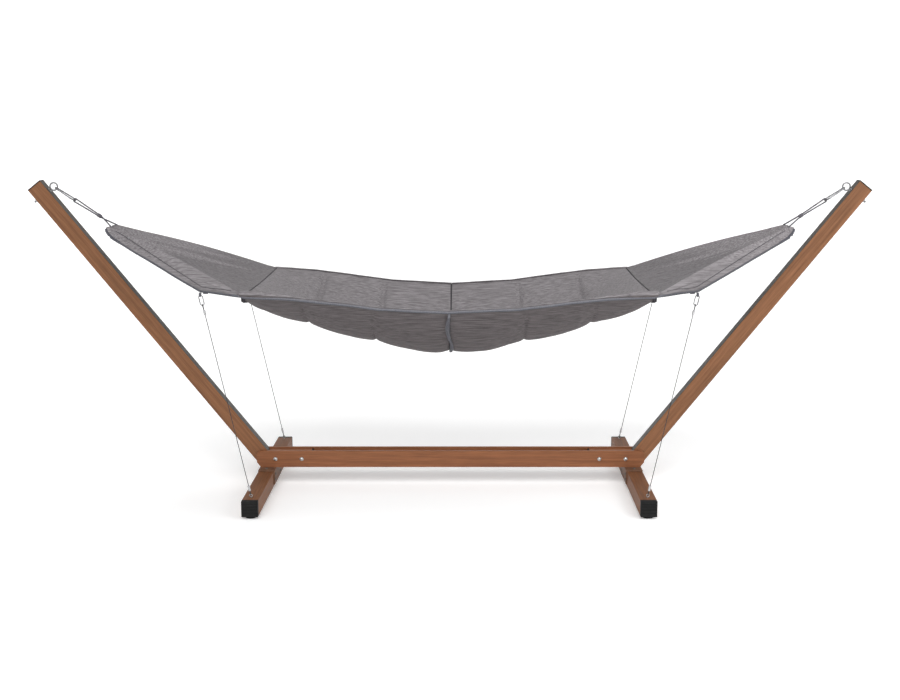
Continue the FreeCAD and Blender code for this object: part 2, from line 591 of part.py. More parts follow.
def slice_of(x, upper, lower):
    """Closed outline of the pad across its length."""
    high = [V(x, s * pad_wide(x), upper(x, s)) for s in SHARES]
    low = [V(x, s * pad_wide(x), lower(x, s)) for s in reversed(SHARES)]
    return Part.Wire([spline(high), Part.makeLine(high[-1], low[0]), spline(low),
                      Part.makeLine(low[-1], high[0])])


stations = []
for a, b in zip(seams, seams[1:]):
    stations += [a + (b - a) * u for u in (0, 0.03, 0.1, 0.22, 0.36, 0.5, 0.64, 0.78, 0.9, 0.97)]
stations = [2.0] + stations[1:] + [K["pad_half"]]
pad = Part.makeLoft([slice_of(x, pad_top, pad_low) for x in stations], True, True)


def hem(x, sign):
    """Point on the sail's edge."""
    if x <= K["corner_half"]:
        high = blend([(K["pad_half"], K["pad_edge"]), (K["corner_half"], K["corner_high"])], x)
        return V(x, sign * K["corner_wide"], high)
    u = (x - K["corner_half"]) / (K["tip_half"] - K["corner_half"])
    wide = K["corner_wide"] + (K["tip_wide"] + 7 - K["corner_wide"]) * u
    return V(x, sign * wide, K["corner_high"] + (K["tip_high"] - 45 - K["corner_high"]) * u)


def sail_points(x):
    """Points across the sail: hem, ridge, sagging middle, ridge, hem."""
    u = (x - K["pad_half"]) / (K["tip_half"] - K["pad_half"])
    wide = K["corner_wide"] - 15 + (K["tip_wide"] - K["corner_wide"] + 15) * u
    high = K["pad_edge"] + 2 + (K["tip_high"] - K["pad_edge"] - 2) * u
    middle = K["pad_edge"] - 20 + (K["tip_high"] - 33 - K["pad_edge"] + 20) * u + 8 * math.sin(math.pi * u)
    across = [V(x, wide * k / 5, middle + (high - middle) * (k / 5) ** 2) for k in range(-5, 6)]
    return [hem(x, -1)] + across + [hem(x, 1)]


def under(points, depth):
    """The same points, moved square to the cloth towards its underside."""
    moved_points = []
    for index, spot in enumerate(points):
        before = points[max(index - 1, 0)]
        after = points[min(index + 1, len(points) - 1)]
        arms = [(b - a).normalize() for a, b in ((before, spot), (spot, after)) if (b - a).Length > 0]
        normals = [V(0, arm.z, -arm.y) for arm in arms]
        mean = normals[0]
        if len(normals) == 2:
            mean = (normals[0] + normals[1]).normalize()
        scale = depth / max(mean.dot(normals[0]), 0.5)
        moved_points.append(spot + mean * scale)
    return moved_points


def sail_slice(x, depth, span_x=None):
    """Closed outline of the sail across its length."""
    high = sail_points(x)
    if span_x is not None:
        high = [V(span_x, p.y, p.z + (span_x - x) * 0.36) for p in high]
    low = under(high, depth)
    n = len(high) - 1
    return Part.Wire([
        Part.makeLine(high[0], high[1]), spline(high[1:n]), Part.makeLine(high[n - 1], high[n]),
        Part.makeLine(high[n], low[n]), Part.makeLine(low[n], low[n - 1]),
        spline(list(reversed(low[1:n]))), Part.makeLine(low[1], low[0]), Part.makeLine(low[0], high[0])])


sail_run = K["tip_half"] - K["corner_half"]
sail_stations = [K["pad_half"] + 2, K["pad_half"] + 50, K["pad_half"] + 110]
sail_stations += [K["corner_half"] + sail_run * u for u in (0, 0.16, 0.34, 0.52, 0.7, 0.86, 1)]
sail = Part.makeLoft([sail_slice(x, K["cloth_thick"]) for x in sail_stations], True, True)
tip = K["tip_half"]
band = Part.makeLoft([sail_slice(tip, 5, tip + 0.3), sail_slice(tip, 5, tip + K["tip_band"])], True, True)


def tape_slice(x, sign):
    """Outline of the edge tape, just outside the cloth's edge."""
    reach = abs(x)
    if reach <= K["pad_half"]:
        edge = V(x, sign * pad_wide(reach), blend(edge_line, reach))
    else:
        edge = hem(reach, sign)
    inside, outside = edge.y + sign * 0.1, edge.y + sign * K["edge_tape"]
    corners = [V(x, inside, edge.z + 5), V(x, outside, edge.z + 5),
               V(x, outside, edge.z - 11), V(x, inside, edge.z - 11)]
    return Part.makePolygon(corners + corners[:1])


path = [x for x in stations[1:] if x > 20] + sail_stations[1:]
path = [-x for x in reversed(path)] + [0] + path
tapes = {}
for place, sign in (("front", -1), ("back", 1)):
    tapes[place] = Part.makeLoft([tape_slice(x, sign) for x in path], True, True)
    piece("edge_tape_" + place, [tapes[place]])


def seam_strip(start, end, tuck, drop, wave):
    """Bound seam allowance that hangs below the pads."""
    reach = abs(start + end) / 2
    sides = [s * 0.995 for s in SHARES]
    high = [V(start, s * pad_wide(reach), pad_top(reach, s) - tuck) for s in sides]
    low = [V(start, s * pad_wide(reach), pad_low(reach, s) - drop - wave * math.sin(23 * s))
           for s in reversed(sides)]
    face = Part.Face(Part.Wire([spline(high), Part.makeLine(high[-1], low[0]), spline(low),
                                Part.makeLine(low[-1], high[0])]))
    return face.extrude(V(end - start, 0, 0))


piece("seam_middle", [seam_strip(-1.7, 1.7, 3, 14, 2.5)])
ends = seam_strip(K["pad_half"] + 0.2, K["pad_half"] + 1.8, 3, 10, 0)
piece("seam_ends", [moved(ends, turn) for side, turn in SIDES])
for side, turn in SIDES:
    piece("pad_" + side, [moved(pad, turn)])
    piece("sail_" + side, [moved(sail, turn)])
piece("tip_bands", [moved(band, turn) for side, turn in SIDES])
loops = []
for side, turn in SIDES:
    for sign in (-1, 1):
        ring = Part.makeTorus(8, 2, V(), X)
        spot = V(loop_centre.x, sign * loop_centre.y, loop_centre.z)
        ring = moved(ring, turn.multiply(at(spot)))
        loops.append(ring.cut(tapes["front"]).cut(tapes["back"]))
piece("corner_loops", [max(shape.Solids, key=lambda solid: solid.Volume) for shape in loops])

doc.recompute()
os.makedirs("parts", exist_ok=True)
nodes = [item for item in doc.Objects if item.TypeId in ("PartDesign::Body", "Part::Feature")]
for item in doc.Objects:
    if "Invalid" in item.State or "Error" in item.State:
        raise RuntimeError("not built: " + item.Label)
for item in nodes:
    if item.Shape.isNull() or not item.Shape.isValid() or not item.Shape.Solids:
        raise RuntimeError("no valid solid: " + item.Label)
for item in nodes:
    item.Shape.exportStep("parts/%s.step" % item.Label)
print("nodes", len(nodes))
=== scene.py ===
import math

import bmesh
import bpy
from mathutils import Matrix, Vector, noise


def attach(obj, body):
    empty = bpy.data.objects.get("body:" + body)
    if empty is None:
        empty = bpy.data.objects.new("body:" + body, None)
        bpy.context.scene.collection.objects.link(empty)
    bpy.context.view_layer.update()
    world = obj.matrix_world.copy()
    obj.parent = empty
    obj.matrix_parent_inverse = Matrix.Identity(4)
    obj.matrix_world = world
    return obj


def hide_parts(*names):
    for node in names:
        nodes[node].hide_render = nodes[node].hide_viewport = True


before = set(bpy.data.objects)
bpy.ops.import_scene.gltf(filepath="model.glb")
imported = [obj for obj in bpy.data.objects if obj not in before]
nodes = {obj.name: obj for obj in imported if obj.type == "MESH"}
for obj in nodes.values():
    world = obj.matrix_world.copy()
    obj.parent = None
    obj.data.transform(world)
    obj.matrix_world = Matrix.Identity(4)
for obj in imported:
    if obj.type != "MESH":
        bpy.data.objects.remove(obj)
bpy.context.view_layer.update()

# Camera, floor and light: a pale studio sweep with broad soft light from above and in front,
# and a long lens at the height of a standing person.
camera = bpy.data.objects.new("camera", bpy.data.cameras.new("camera"))
bpy.context.collection.objects.link(camera)
camera.location = (0.063, -5.69, 1.662)
camera.rotation_euler = (math.radians(79.65), 0, 0)
camera.data.lens = 51.06
camera.data.sensor_width = 36
camera.data.shift_x = -0.0159
bpy.context.scene.camera = camera
bpy.context.scene.view_settings.view_transform = "Standard"

world = bpy.data.worlds.new("studio")
bpy.context.scene.world = world
world.use_nodes = True
world.node_tree.nodes["Background"].inputs["Color"].default_value = (1, 1, 1, 1)
world.node_tree.nodes["Background"].inputs["Strength"].default_value = 0.38

sweep = bmesh.new()
profile = [(0.0, 0.0), (15.0, 0.0)]
profile += [(15 + 3 * math.sin(math.pi * k / 16), 3 - 3 * math.cos(math.pi * k / 16)) for k in range(1, 9)]
profile.append((18.0, 6.5))
spots = [sweep.verts.new((a, 0, b)) for a, b in profile]
lines = [sweep.edges.new(pair) for pair in zip(spots, spots[1:])]
bmesh.ops.spin(sweep, geom=spots + lines, cent=(0, 0, 0), axis=(0, 0, 1), angle=2 * math.pi, steps=64,
               use_merge=True)
bmesh.ops.remove_doubles(sweep, verts=sweep.verts, dist=0.0001)
bmesh.ops.recalc_face_normals(sweep, faces=sweep.faces)
floor_mesh = bpy.data.meshes.new("floor")
sweep.to_mesh(floor_mesh)
sweep.free()
floor_mesh.shade_smooth()
floor = bpy.data.objects.new("floor", floor_mesh)
bpy.context.collection.objects.link(floor)
paper = bpy.data.materials.new("studio_paper")
paper.use_nodes = True
paper_shader = paper.node_tree.nodes["Principled BSDF"]
paper_shader.inputs["Base Color"].default_value = (0.9, 0.9, 0.9, 1)
paper_shader.inputs["Roughness"].default_value = 1
paper_shader.inputs["Specular IOR Level"].default_value = 0
paper_shader.inputs["Emission Color"].default_value = (1, 1, 1, 1)
paper_shader.inputs["Emission Strength"].default_value = 0.24
floor.data.materials.append(paper)

for name, way, power, soft in (("key", (-0.10, -0.82, 0.80), 1.62, 38), ("top", (0.3, 0.35, 1.0), 0.75, 60)):
    lamp = bpy.data.objects.new(name, bpy.data.lights.new(name, "SUN"))
    bpy.context.collection.objects.link(lamp)
    lamp.data.energy = power
    lamp.data.angle = math.radians(soft)
    lamp.location = Vector(way) * 4
    lamp.rotation_euler = (-Vector(way)).to_track_quat("-Z", "Y").to_euler()
lamp = bpy.data.objects.new("panel", bpy.data.lights.new("panel", "AREA"))
bpy.context.collection.objects.link(lamp)
lamp.data.size = 1.6
lamp.data.energy = 46
lamp.location = (2.6, -2.9, 2.7)
lamp.rotation_euler = (Vector((1.2, 0, 0.9)) - lamp.location).to_track_quat("-Z", "Y").to_euler()


# Ropes: a soft three-millimetre-core braid, looped through the large snap link, whipped where the
# strands part, and sewn into the two corners of the cloth's tip.
def material(name, roughness, metallic=0.0, sheen=0.0):
    """New material with its main shader."""
    made = bpy.data.materials.new(name)
    made.use_nodes = True
    shader = made.node_tree.nodes["Principled BSDF"]
    shader.inputs["Roughness"].default_value = roughness
    shader.inputs["Metallic"].default_value = metallic
    shader.inputs["Sheen Weight"].default_value = sheen
    shader.inputs["Specular IOR Level"].default_value = 0.5 if metallic > 0.5 else 0.22
    return made, made.node_tree, shader


def add_node(tree, kind, **values):
    """Shader node with some of its sockets or settings filled in."""
    node = tree.nodes.new("ShaderNode" + kind)
    for key, given in values.items():
        if key in node.inputs:
            node.inputs[key].default_value = given
        else:
            setattr(node, key, given)
    return node


def mottle_group():
    """Group that turns a stretched noise into a colour, a roughness and a height."""
    group = bpy.data.node_groups.new("stretched_mottle", "ShaderNodeTree")
    for title, kind in (("Vector", "Vector"), ("Stretch", "Vector"), ("Dark", "Color"), ("Light", "Color"),
                        ("Contrast", "Float"), ("Rough low", "Float"), ("Rough high", "Float")):
        group.interface.new_socket(name=title, in_out="INPUT", socket_type="NodeSocket" + kind)
    for title, kind in (("Color", "Color"), ("Roughness", "Float"), ("Height", "Float")):
        group.interface.new_socket(name=title, in_out="OUTPUT", socket_type="NodeSocket" + kind)
    enter, leave = group.nodes.new("NodeGroupInput"), group.nodes.new("NodeGroupOutput")
    scale = add_node(group, "VectorMath", operation="MULTIPLY")
    coarse = add_node(group, "TexNoise", Scale=1.0, Detail=4.0, Roughness=0.62)
    push = add_node(group, "Math", operation="MULTIPLY_ADD", use_clamp=True)
    shift = add_node(group, "Math", operation="MULTIPLY_ADD")
    mix = add_node(group, "Mix", data_type="RGBA")
    rough = add_node(group, "MapRange")
    link = group.links.new
    link(enter.outputs["Vector"], scale.inputs[0])
    link(enter.outputs["Stretch"], scale.inputs[1])
    link(scale.outputs[0], coarse.inputs["Vector"])
    link(coarse.outputs["Fac"], push.inputs[0])
    link(enter.outputs["Contrast"], push.inputs[1])
    link(enter.outputs["Contrast"], shift.inputs[0])
    shift.inputs[1].default_value, shift.inputs[2].default_value = -0.5, 0.5
    link(shift.outputs[0], push.inputs[2])
    link(push.outputs[0], mix.inputs["Factor"])
    link(enter.outputs["Dark"], mix.inputs[6])
    link(enter.outputs["Light"], mix.inputs[7])
    link(push.outputs[0], rough.inputs["Value"])
    link(enter.outputs["Rough low"], rough.inputs["To Min"])
    link(enter.outputs["Rough high"], rough.inputs["To Max"])
    link(mix.outputs[2], leave.inputs["Color"])
    link(rough.outputs["Result"], leave.inputs["Roughness"])
    link(coarse.outputs["Fac"], leave.inputs["Height"])
    return group


MOTTLE = mottle_group()


def mottled(tree, turn, stretch, dark, light, contrast, rough):
    """The mottle group on object coordinates, turned so that its grain follows the piece."""
    where = add_node(tree, "TexCoord")
    turned = add_node(tree, "Mapping", vector_type="POINT")
    turned.inputs["Rotation"].default_value = turn
    group = tree.nodes.new("ShaderNodeGroup")
    group.node_tree = MOTTLE
    group.inputs["Stretch"].default_value = stretch
    group.inputs["Dark"].default_value = (*dark, 1)
    group.inputs["Light"].default_value = (*light, 1)
    group.inputs["Contrast"].default_value = contrast
    group.inputs["Rough low"].default_value, group.inputs["Rough high"].default_value = rough
    tree.links.new(where.outputs["Object"], turned.inputs["Vector"])
    tree.links.new(turned.outputs["Vector"], group.inputs["Vector"])
    return group


def facing(tree, way, low, high):
    """Mask of the faces that look along a direction."""
    where = add_node(tree, "TexCoord")
    dot = add_node(tree, "VectorMath", operation="DOT_PRODUCT")
    dot.inputs[1].default_value = way
    mask = add_node(tree, "MapRange", interpolation_type="SMOOTHSTEP")
    mask.inputs["From Min"].default_value, mask.inputs["From Max"].default_value = low, high
    tree.links.new(where.outputs["Normal"], dot.inputs[0])
    tree.links.new(dot.outputs["Value"], mask.inputs["Value"])
    return mask.outputs["Result"]


def tinted(tree, colour, mask, tint, kind="MULTIPLY"):
    """Colour mixed with a tint where the mask is white."""
    mix = add_node(tree, "Mix", data_type="RGBA", blend_type=kind)
    if isinstance(mask, float):
        mix.inputs["Factor"].default_value = mask
    else:
        tree.links.new(mask, mix.inputs["Factor"])
    tree.links.new(colour, mix.inputs[6])
    if isinstance(tint, tuple):
        mix.inputs[7].default_value = (*tint, 1)
    else:
        tree.links.new(tint, mix.inputs[7])
    return mix.outputs[2]


def bump(tree, height, normal, strength, depth):
    """Bump node over a height and an optional earlier normal."""
    node = add_node(tree, "Bump", Strength=strength, Distance=depth)
    tree.links.new(height, node.inputs["Height"])
    if normal is not None:
        tree.links.new(normal, node.inputs["Normal"])
    return node.outputs["Normal"]


def woven(name, dark, light, streak, grain, fuzz, painted_underside_shade=(1.0, 1.0, 1.0)):
    """Cloth: streaks of uneven yarn along x, a fine weave, soft creases, and painted shade on the faces that
    look down.
    """
    made, tree, shader = material(name, 0.9, sheen=fuzz)
    yarn = mottled(tree, (0, 0, 0), streak, dark, light, 2.6, (0.82, 0.95))
    weave = mottled(tree, (0, 0, 0), grain, (0.8, 0.8, 0.8), (1.08, 1.08, 1.08), 2.0, (0.8, 1))
    colour = tinted(tree, yarn.outputs["Color"], 1.0, weave.outputs["Color"])
    # Faces that look down are tinted darker. This is painted shade; on the pads it is also a little browner,
    # like their lining.
    colour = tinted(tree, colour, facing(tree, (0, 0, -1), -0.1, 0.35), painted_underside_shade)
    tree.links.new(colour, shader.inputs["Base Color"])
    tree.links.new(yarn.outputs["Roughness"], shader.inputs["Roughness"])
    first = bump(tree, yarn.outputs["Height"], None, 0.4, 0.0007)
    tree.links.new(bump(tree, weave.outputs["Height"], first, 0.6, 0.0005), shader.inputs["Normal"])
    return made


rope_braid = woven("rope_braid", (0.05, 0.047, 0.055), (0.15, 0.142, 0.16), (260, 260, 260),
                   (900, 900, 900), 0.1)

eye = Vector((1.754824, 0, 1.358794))
chain = Vector((-0.835234, 0, -0.549895))
lift = Vector((-chain.z, 0, chain.x)) * -1
ROPE_ROUTE = [(0.312, -0.003, 0.0515), (0.246, 0.0035, 0), (0.224, 0.0035, 0), (0.150, 0.0056, 0),
              (0.118, 0.0072, 0), (0.104, 0.0072, 0), (0.104, -0.0072, 0), (0.118, -0.0072, 0),
              (0.150, -0.0056, 0), (0.224, -0.0035, 0), (0.246, -0.0035, 0), (0.312, -0.003, -0.0515)]
ROPE_RADIUS = 0.0033
SIDES = (("right", 1), ("left", -1))


def cord_piece(name, points, radius, skin, body):
    """Round cord on a smooth line through its route."""
    curve = bpy.data.curves.new(name, "CURVE")
    curve.dimensions = "3D"
    curve.bevel_depth = radius
    curve.bevel_resolution = 3
    curve.resolution_u = 8
    curve.use_fill_caps = True
    line = curve.splines.new("NURBS")
    line.points.add(len(points) - 1)
    for point, spot in zip(line.points, points):
        point.co = (*spot, 1)
    line.order_u = 3
    line.use_endpoint_u = True
    piece = bpy.data.objects.new(name, curve)
    bpy.context.collection.objects.link(piece)
    curve.materials.append(skin)
    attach(piece, body)
    return piece


for side, s in SIDES:
    turn = Matrix.Rotation(0 if s > 0 else math.pi, 4, "Z")
    route = [turn @ (eye + chain * a + lift * b + Vector((0, c, 0))) for a, b, c in ROPE_ROUTE]
    rope = cord_piece("rope_braid_" + side, route, ROPE_RADIUS, rope_braid, "suspension_" + side)
    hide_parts("rope_" + side)
    nodes["whipping_" + side].data.materials.clear()
    nodes["whipping_" + side].data.materials.append(rope_braid)


# Stays: thin wire rope, pulled tight from each foot's eye screw to a small snap link,
# with a crimped loop at each end. A pressed ferrule holds the wire's tail.
def metal(name, dark, light, rough, stretch=(60, 60, 60), metallic=1.0, depth=0.0001):
    """Metal with faint streaks and uneven polish."""
    made, tree, shader = material(name, 0.3, metallic)
    streaks = mottled(tree, (0, 0, 0), stretch, dark, light, 1.6, rough)
    tree.links.new(streaks.outputs["Color"], shader.inputs["Base Color"])
    tree.links.new(streaks.outputs["Roughness"], shader.inputs["Roughness"])
    tree.links.new(bump(tree, streaks.outputs["Height"], None, 0.2, depth), shader.inputs["Normal"])
    return made


wire_rope = metal("wire_rope", (0.02, 0.02, 0.021), (0.07, 0.07, 0.072), (0.5, 0.7), (900, 900, 260), 0.3,
                  0.0004)
WIRE_RADIUS = 0.0015
PLACES = (("front", -1), ("back", 1))
foot_eye = Vector((0.837, 0.502, 0.09))
stay_line = Vector((0.183, 0, 0.852)).normalized()
STAY_ROUTE = [(0.030, 0.00165), (0.021, 0.00165), (0.0085, 0.0037), (0.0024, 0.0036), (0.0024, -0.0036),
              (0.0085, -0.0037), (0.021, -0.00165), (0.043, -0.00165), (0.765, -0.00165), (0.808, -0.00165),
              (0.827, -0.0042), (0.8335, -0.0041), (0.8335, 0.0041), (0.827, 0.0042), (0.808, 0.00165),
              (0.803, 0.00165)]
for side, s in SIDES:
    for place, far in PLACES:
        name = "%s_%s" % (place, side)
        base = Vector((s * foot_eye.x, far * foot_eye.y, foot_eye.z))
        up = Vector((s * stay_line.x, 0, stay_line.z))
        route = [base + up * a + Vector((0, s * b, 0)) for a, b in STAY_ROUTE]
        stay = cord_piece("stay_wire_" + name, route, WIRE_RADIUS, wire_rope, "stay_" + name)
        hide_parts("stay_cable_" + name)


# Posts, stubs, beam boards and feet: metal tube and plate with a printed wood-effect coat,
# cut, bolted and left with slightly eased edges.
def dress(name, skin):
    """Give a carried-over part its finish."""
    nodes[name].data.materials.clear()
    nodes[name].data.materials.append(skin)


def ease(name, width):
    """Soften a hard part's long edges."""
    weld = nodes[name].modifiers.new("weld", "WELD")
    weld.merge_threshold = 0.00005
    edge = nodes[name].modifiers.new("eased_edge", "BEVEL")
    edge.width = width
    edge.segments = 2
    edge.limit_method = "ANGLE"
    edge.angle_limit = math.radians(50)
    edge.use_clamp_overlap = True
    edge.harden_normals = True


def wood_coat(name, turn, dark, light, shaded=None):
    """Printed wood grain that runs along the tube, under a satin lacquer."""
    made, tree, shader = material(name, 0.5)
    shader.inputs["Specular IOR Level"].default_value = 0.3
    grain = mottled(tree, turn, (2.6, 95, 95), dark, light, 2.0, (0.42, 0.6))
    pores = mottled(tree, turn, (12, 330, 330), (0.74, 0.71, 0.68), (1.08, 1.08, 1.08), 2.4, (0.5, 0.6))
    colour = tinted(tree, grain.outputs["Color"], 1.0, pores.outputs["Color"])
    if shaded:
        colour = tinted(tree, colour, facing(tree, shaded, 0.6, 0.9), (0.05, 0.041, 0.033), "MIX")
    tree.links.new(colour, shader.inputs["Base Color"])
    tree.links.new(grain.outputs["Roughness"], shader.inputs["Roughness"])
    tree.links.new(bump(tree, pores.outputs["Height"], None, 0.35, 0.0004), shader.inputs["Normal"])
    return made


lean = math.radians(51.63)
post_tone = ((0.13, 0.054, 0.021), (0.27, 0.118, 0.052))
beam_tone = ((0.15, 0.054, 0.021), (0.29, 0.112, 0.046))
foot_tone = ((0.135, 0.055, 0.024), (0.27, 0.118, 0.055))
tall, flat = math.cos(lean), math.sin(lean)
dress("post_right", wood_coat("wood_coat_post_right", (0, lean, 0), *post_tone, (-flat, 0, tall)))
dress("post_left", wood_coat("wood_coat_post_left", (0, -lean, 0), *post_tone, (flat, 0, tall)))
beam_coat = wood_coat("wood_coat_beam", (0, 0, 0), *beam_tone)
beam_tree, beam_shader = beam_coat.node_tree, beam_coat.node_tree.nodes["Principled BSDF"]
# Painted highlight: the beam's top faces are lightened for the glare of the pale sky at a grazing angle.
beam_painted_top_light = tinted(beam_tree, beam_shader.inputs["Base Color"].links[0].from_socket,
                     facing(beam_tree, (0, 0, 1), 0.6, 0.9), (1.3, 1.25, 1.2))
beam_tree.links.new(beam_painted_top_light, beam_shader.inputs["Base Color"])
foot_coat = wood_coat("wood_coat_foot", (0, 0, math.pi / 2), *foot_tone)
foot_coat.node_tree.nodes["Principled BSDF"].inputs["Specular IOR Level"].default_value = 0.15
for name in ("beam_board_front", "beam_board_back", "stub_left", "stub_right"):
    dress(name, beam_coat)
for side, s in SIDES:
    dress("foot_" + side, foot_coat)
for name, width in (("post_left", 0.002), ("post_right", 0.002), ("beam_board_front", 0.0018),
                    ("beam_board_back", 0.0018), ("stub_left", 0.0012), ("stub_right", 0.0012)):
    ease(name, width)

# Brackets: folded steel under the beam's ends, powder coated to match, with blackened bolts.
# The beam's through bolts are bright stainless with low domed heads.
bracket_coat = metal("bracket_coat", (0.10, 0.05, 0.03), (0.19, 0.10, 0.06), (0.45, 0.6), metallic=0.0)
stainless = metal("stainless", (0.36, 0.355, 0.35), (0.52, 0.515, 0.51), (0.2, 0.36))
link_steel = metal("link_steel", (0.13, 0.13, 0.135), (0.3, 0.3, 0.31), (0.24, 0.4))
dark_steel = metal("blackened_steel", (0.05, 0.045, 0.04), (0.22, 0.2, 0.18), (0.35, 0.5), metallic=0.8)
for side, s in SIDES:
    dress("base_bracket_" + side, bracket_coat)
    ease("base_bracket_" + side, 0.0012)
dress("bracket_bolts", dark_steel)
dress("beam_bolts", stainless)

# Caps, plugs and glides: black moulded plastic pressed into the tube ends, ribbed on the feet,
# and round rubber glides under them.
moulded = metal("black_moulding", (0.003, 0.003, 0.003), (0.010, 0.010, 0.010), (0.55, 0.75),
                (700, 700, 700), 0.0)
rubber = metal("black_rubber", (0.006, 0.006, 0.006), (0.014, 0.014, 0.014), (0.75, 0.9),
               (500, 500, 500), 0.0)
for side, s in SIDES:
    for name in ("post_cap_", "stub_plug_", "foot_cap_front_", "foot_cap_back_"):
        dress(name + side, moulded)
    dress("glides_" + side, rubber)

# Links and eyes: bent and welded stainless wire, with turned pins and pressed ferrules.
# Each gate is a straight pin on a small fork.
ferrule_alloy = metal("ferrule_alloy", (0.42, 0.42, 0.43), (0.62, 0.62, 0.63), (0.3, 0.5))
for side, s in SIDES:
    for name in ("eye_bolt_", "carabiner_", "carabiner_gate_"):
        dress(name + side, link_steel)
    for place in ("front_", "back_"):
        dress("snap_hook_" + place + side, link_steel)
        dress("snap_gate_" + place + side, link_steel)
        dress("stay_ferrules_" + place + side, ferrule_alloy)
dress("eye_nuts", stainless)
dress("foot_eye_screws", stainless)

# Pads: two quilted halves of heather-grey cloth over wadding, sewn across in three channels and
# slung low in the middle. The upper face stays nearly flat and the lower face bellies out.
# Its last tint is painted shade on the faces that look down, slightly browner for the lining.
cloth_weave = woven("heather_cloth", (0.105, 0.096, 0.100), (0.298, 0.280, 0.290), (10, 215, 215),
                    (240, 700, 700), 0.04, (0.50, 0.475, 0.47))
PAD_HALF, CORNER_HALF, TIP_HALF = 0.850, 1.020, 1.500
SEAMS = (0.0, 0.32385, 0.6103, 0.850)
LOW_LINE = ((0, 0.680), (0.32385, 0.740), (0.6103, 0.820), (0.850, 0.931))
PAD_FULL = 0.078
SEAM_FULL = ((0, 0.038), (0.32385, 0.050), (0.6103, 0.048), (0.850, 0.036))
EDGE_LINE = ((0, 0.869), (0.289, 0.884), (0.5015, 0.912), (0.6545, 0.929), (0.850, 0.939))


def along(table, spot):
    """Value between the pairs of a table."""
    for (a, low), (b, high) in zip(table, table[1:]):
        if spot <= b:
            return low + (high - low) * (spot - a) / (b - a)
    return table[-1][1]


def pad_half_width(x):
    return 0.460 + 0.040 * (x / PAD_HALF) ** 1.5


def channel(x):
    """0 on a sewn line, 1 in the middle of a channel."""
    for a, b in zip(SEAMS, SEAMS[1:]):
        if x <= b:
            return math.sqrt(max(0.0, math.sin(math.pi * (x - a) / (b - a))))
    return 0.0


def pad_face(x, share, upper):
    """Height of a face of the pad."""
    centre = along(LOW_LINE, x) + 0.006 * channel(x)
    top = centre + (along(EDGE_LINE, x) - centre) * abs(share) ** 2.2
    if upper:
        return top
    on_seam = along(SEAM_FULL, x)
    middle = on_seam + (PAD_FULL - on_seam) * channel(x)
    return top - 0.010 - (middle - 0.010) * (1 - abs(share) ** 5)


def finished(name, mesh_maker, skin, body, replaced, smooth=True):
    """Object from a bmesh, riding on its body and standing for its solids."""
    mesh = bpy.data.meshes.new(name)
    mesh_maker.to_mesh(mesh)
    mesh_maker.free()
    if smooth:
        mesh.shade_smooth()
    piece = bpy.data.objects.new(name, mesh)
    bpy.context.collection.objects.link(piece)
    mesh.materials.append(skin)
    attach(piece, body)
    if replaced:
        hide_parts(*replaced)
    return piece


def crinkle(x, y, seed, fine=1.0):
    """Small creases that run along the cloth, in metres."""
    slow = noise.noise(Vector((x * 5.0, y * 20.0, seed)))
    quick = noise.noise(Vector((x * 9.0, y * 60.0, seed + 9.0)))
    return 0.0028 * slow + 0.0024 * fine * quick


for side, s in SIDES:
    seed = 3.0 if s > 0 else 17.0
    pad = bmesh.new()
    bmesh.ops.create_grid(pad, x_segments=150, y_segments=170, size=1)
    upper = list(pad.verts)
    copied = bmesh.ops.duplicate(pad, geom=pad.verts[:] + pad.edges[:] + pad.faces[:])["geom"]
    lower = [item for item in copied if isinstance(item, bmesh.types.BMVert)]
    bmesh.ops.reverse_faces(pad, faces=[item for item in copied if isinstance(item, bmesh.types.BMFace)])
    for verts, is_upper in ((upper, True), (lower, False)):
        for vert in verts:
            x = 0.0025 + (vert.co.x + 1) / 2 * (PAD_HALF - 0.0027)
            share = math.sin(math.pi / 2 * vert.co.y)
            z = pad_face(x, share, is_upper)
            calm = min(1.0, (1 - abs(share)) * 9) * min(1.0, (PAD_HALF - x) * 18, x * 25)
            gather = 1 + 2.0 * (1 - channel(x)) ** 3
            ripple = crinkle(x, share * 0.48, seed, gather) * calm
            if is_upper:
                for line in SEAMS[1:3]:
                    ripple -= 0.013 * math.exp(-((x - line) / 0.012) ** 2) * calm
            else:
                ripple *= 1.3
                for line in SEAMS[1:3]:
                    ripple += 0.003 * math.exp(-((x - line) / 0.010) ** 2) * calm
            vert.co = (s * x, s * share * (pad_half_width(x) - 0.0005), z + ripple)
    rims = [edge for edge in pad.edges if edge.is_boundary]
    bmesh.ops.bridge_loops(pad, edges=rims)
    bmesh.ops.recalc_face_normals(pad, faces=pad.faces)
    quilt = finished("quilted_pad_" + side, pad, cloth_weave, "hammock", ["pad_" + side])


# Sails: a single layer of the same cloth at each end, gathered to the tip. Two ridges run from the
# tip to the pad's corners, the middle sags between them, and the sides fall to a turned hem.
RIDGE = 0.62
ROUND_FROM, ROUND_REACH = 1.474, 0.0455


def hem_point(x):
    """Outer edge of the sail, for the +y side."""
    if x <= CORNER_HALF:
        return Vector((x, 0.500, along(((PAD_HALF, 0.939), (CORNER_HALF, 0.960)), x)))
    u = min(1.0, (x - CORNER_HALF) / (TIP_HALF - CORNER_HALF))
    return Vector((x, 0.500 - 0.445 * u, 0.960 + 0.180 * u))


def ridge_line(x):
    """Share of the way to the tip, half width and height of the straight line along a ridge."""
    u = (x - PAD_HALF) / (TIP_HALF - PAD_HALF)
    return u, 0.485 - 0.437 * u, 0.941 + 0.244 * u


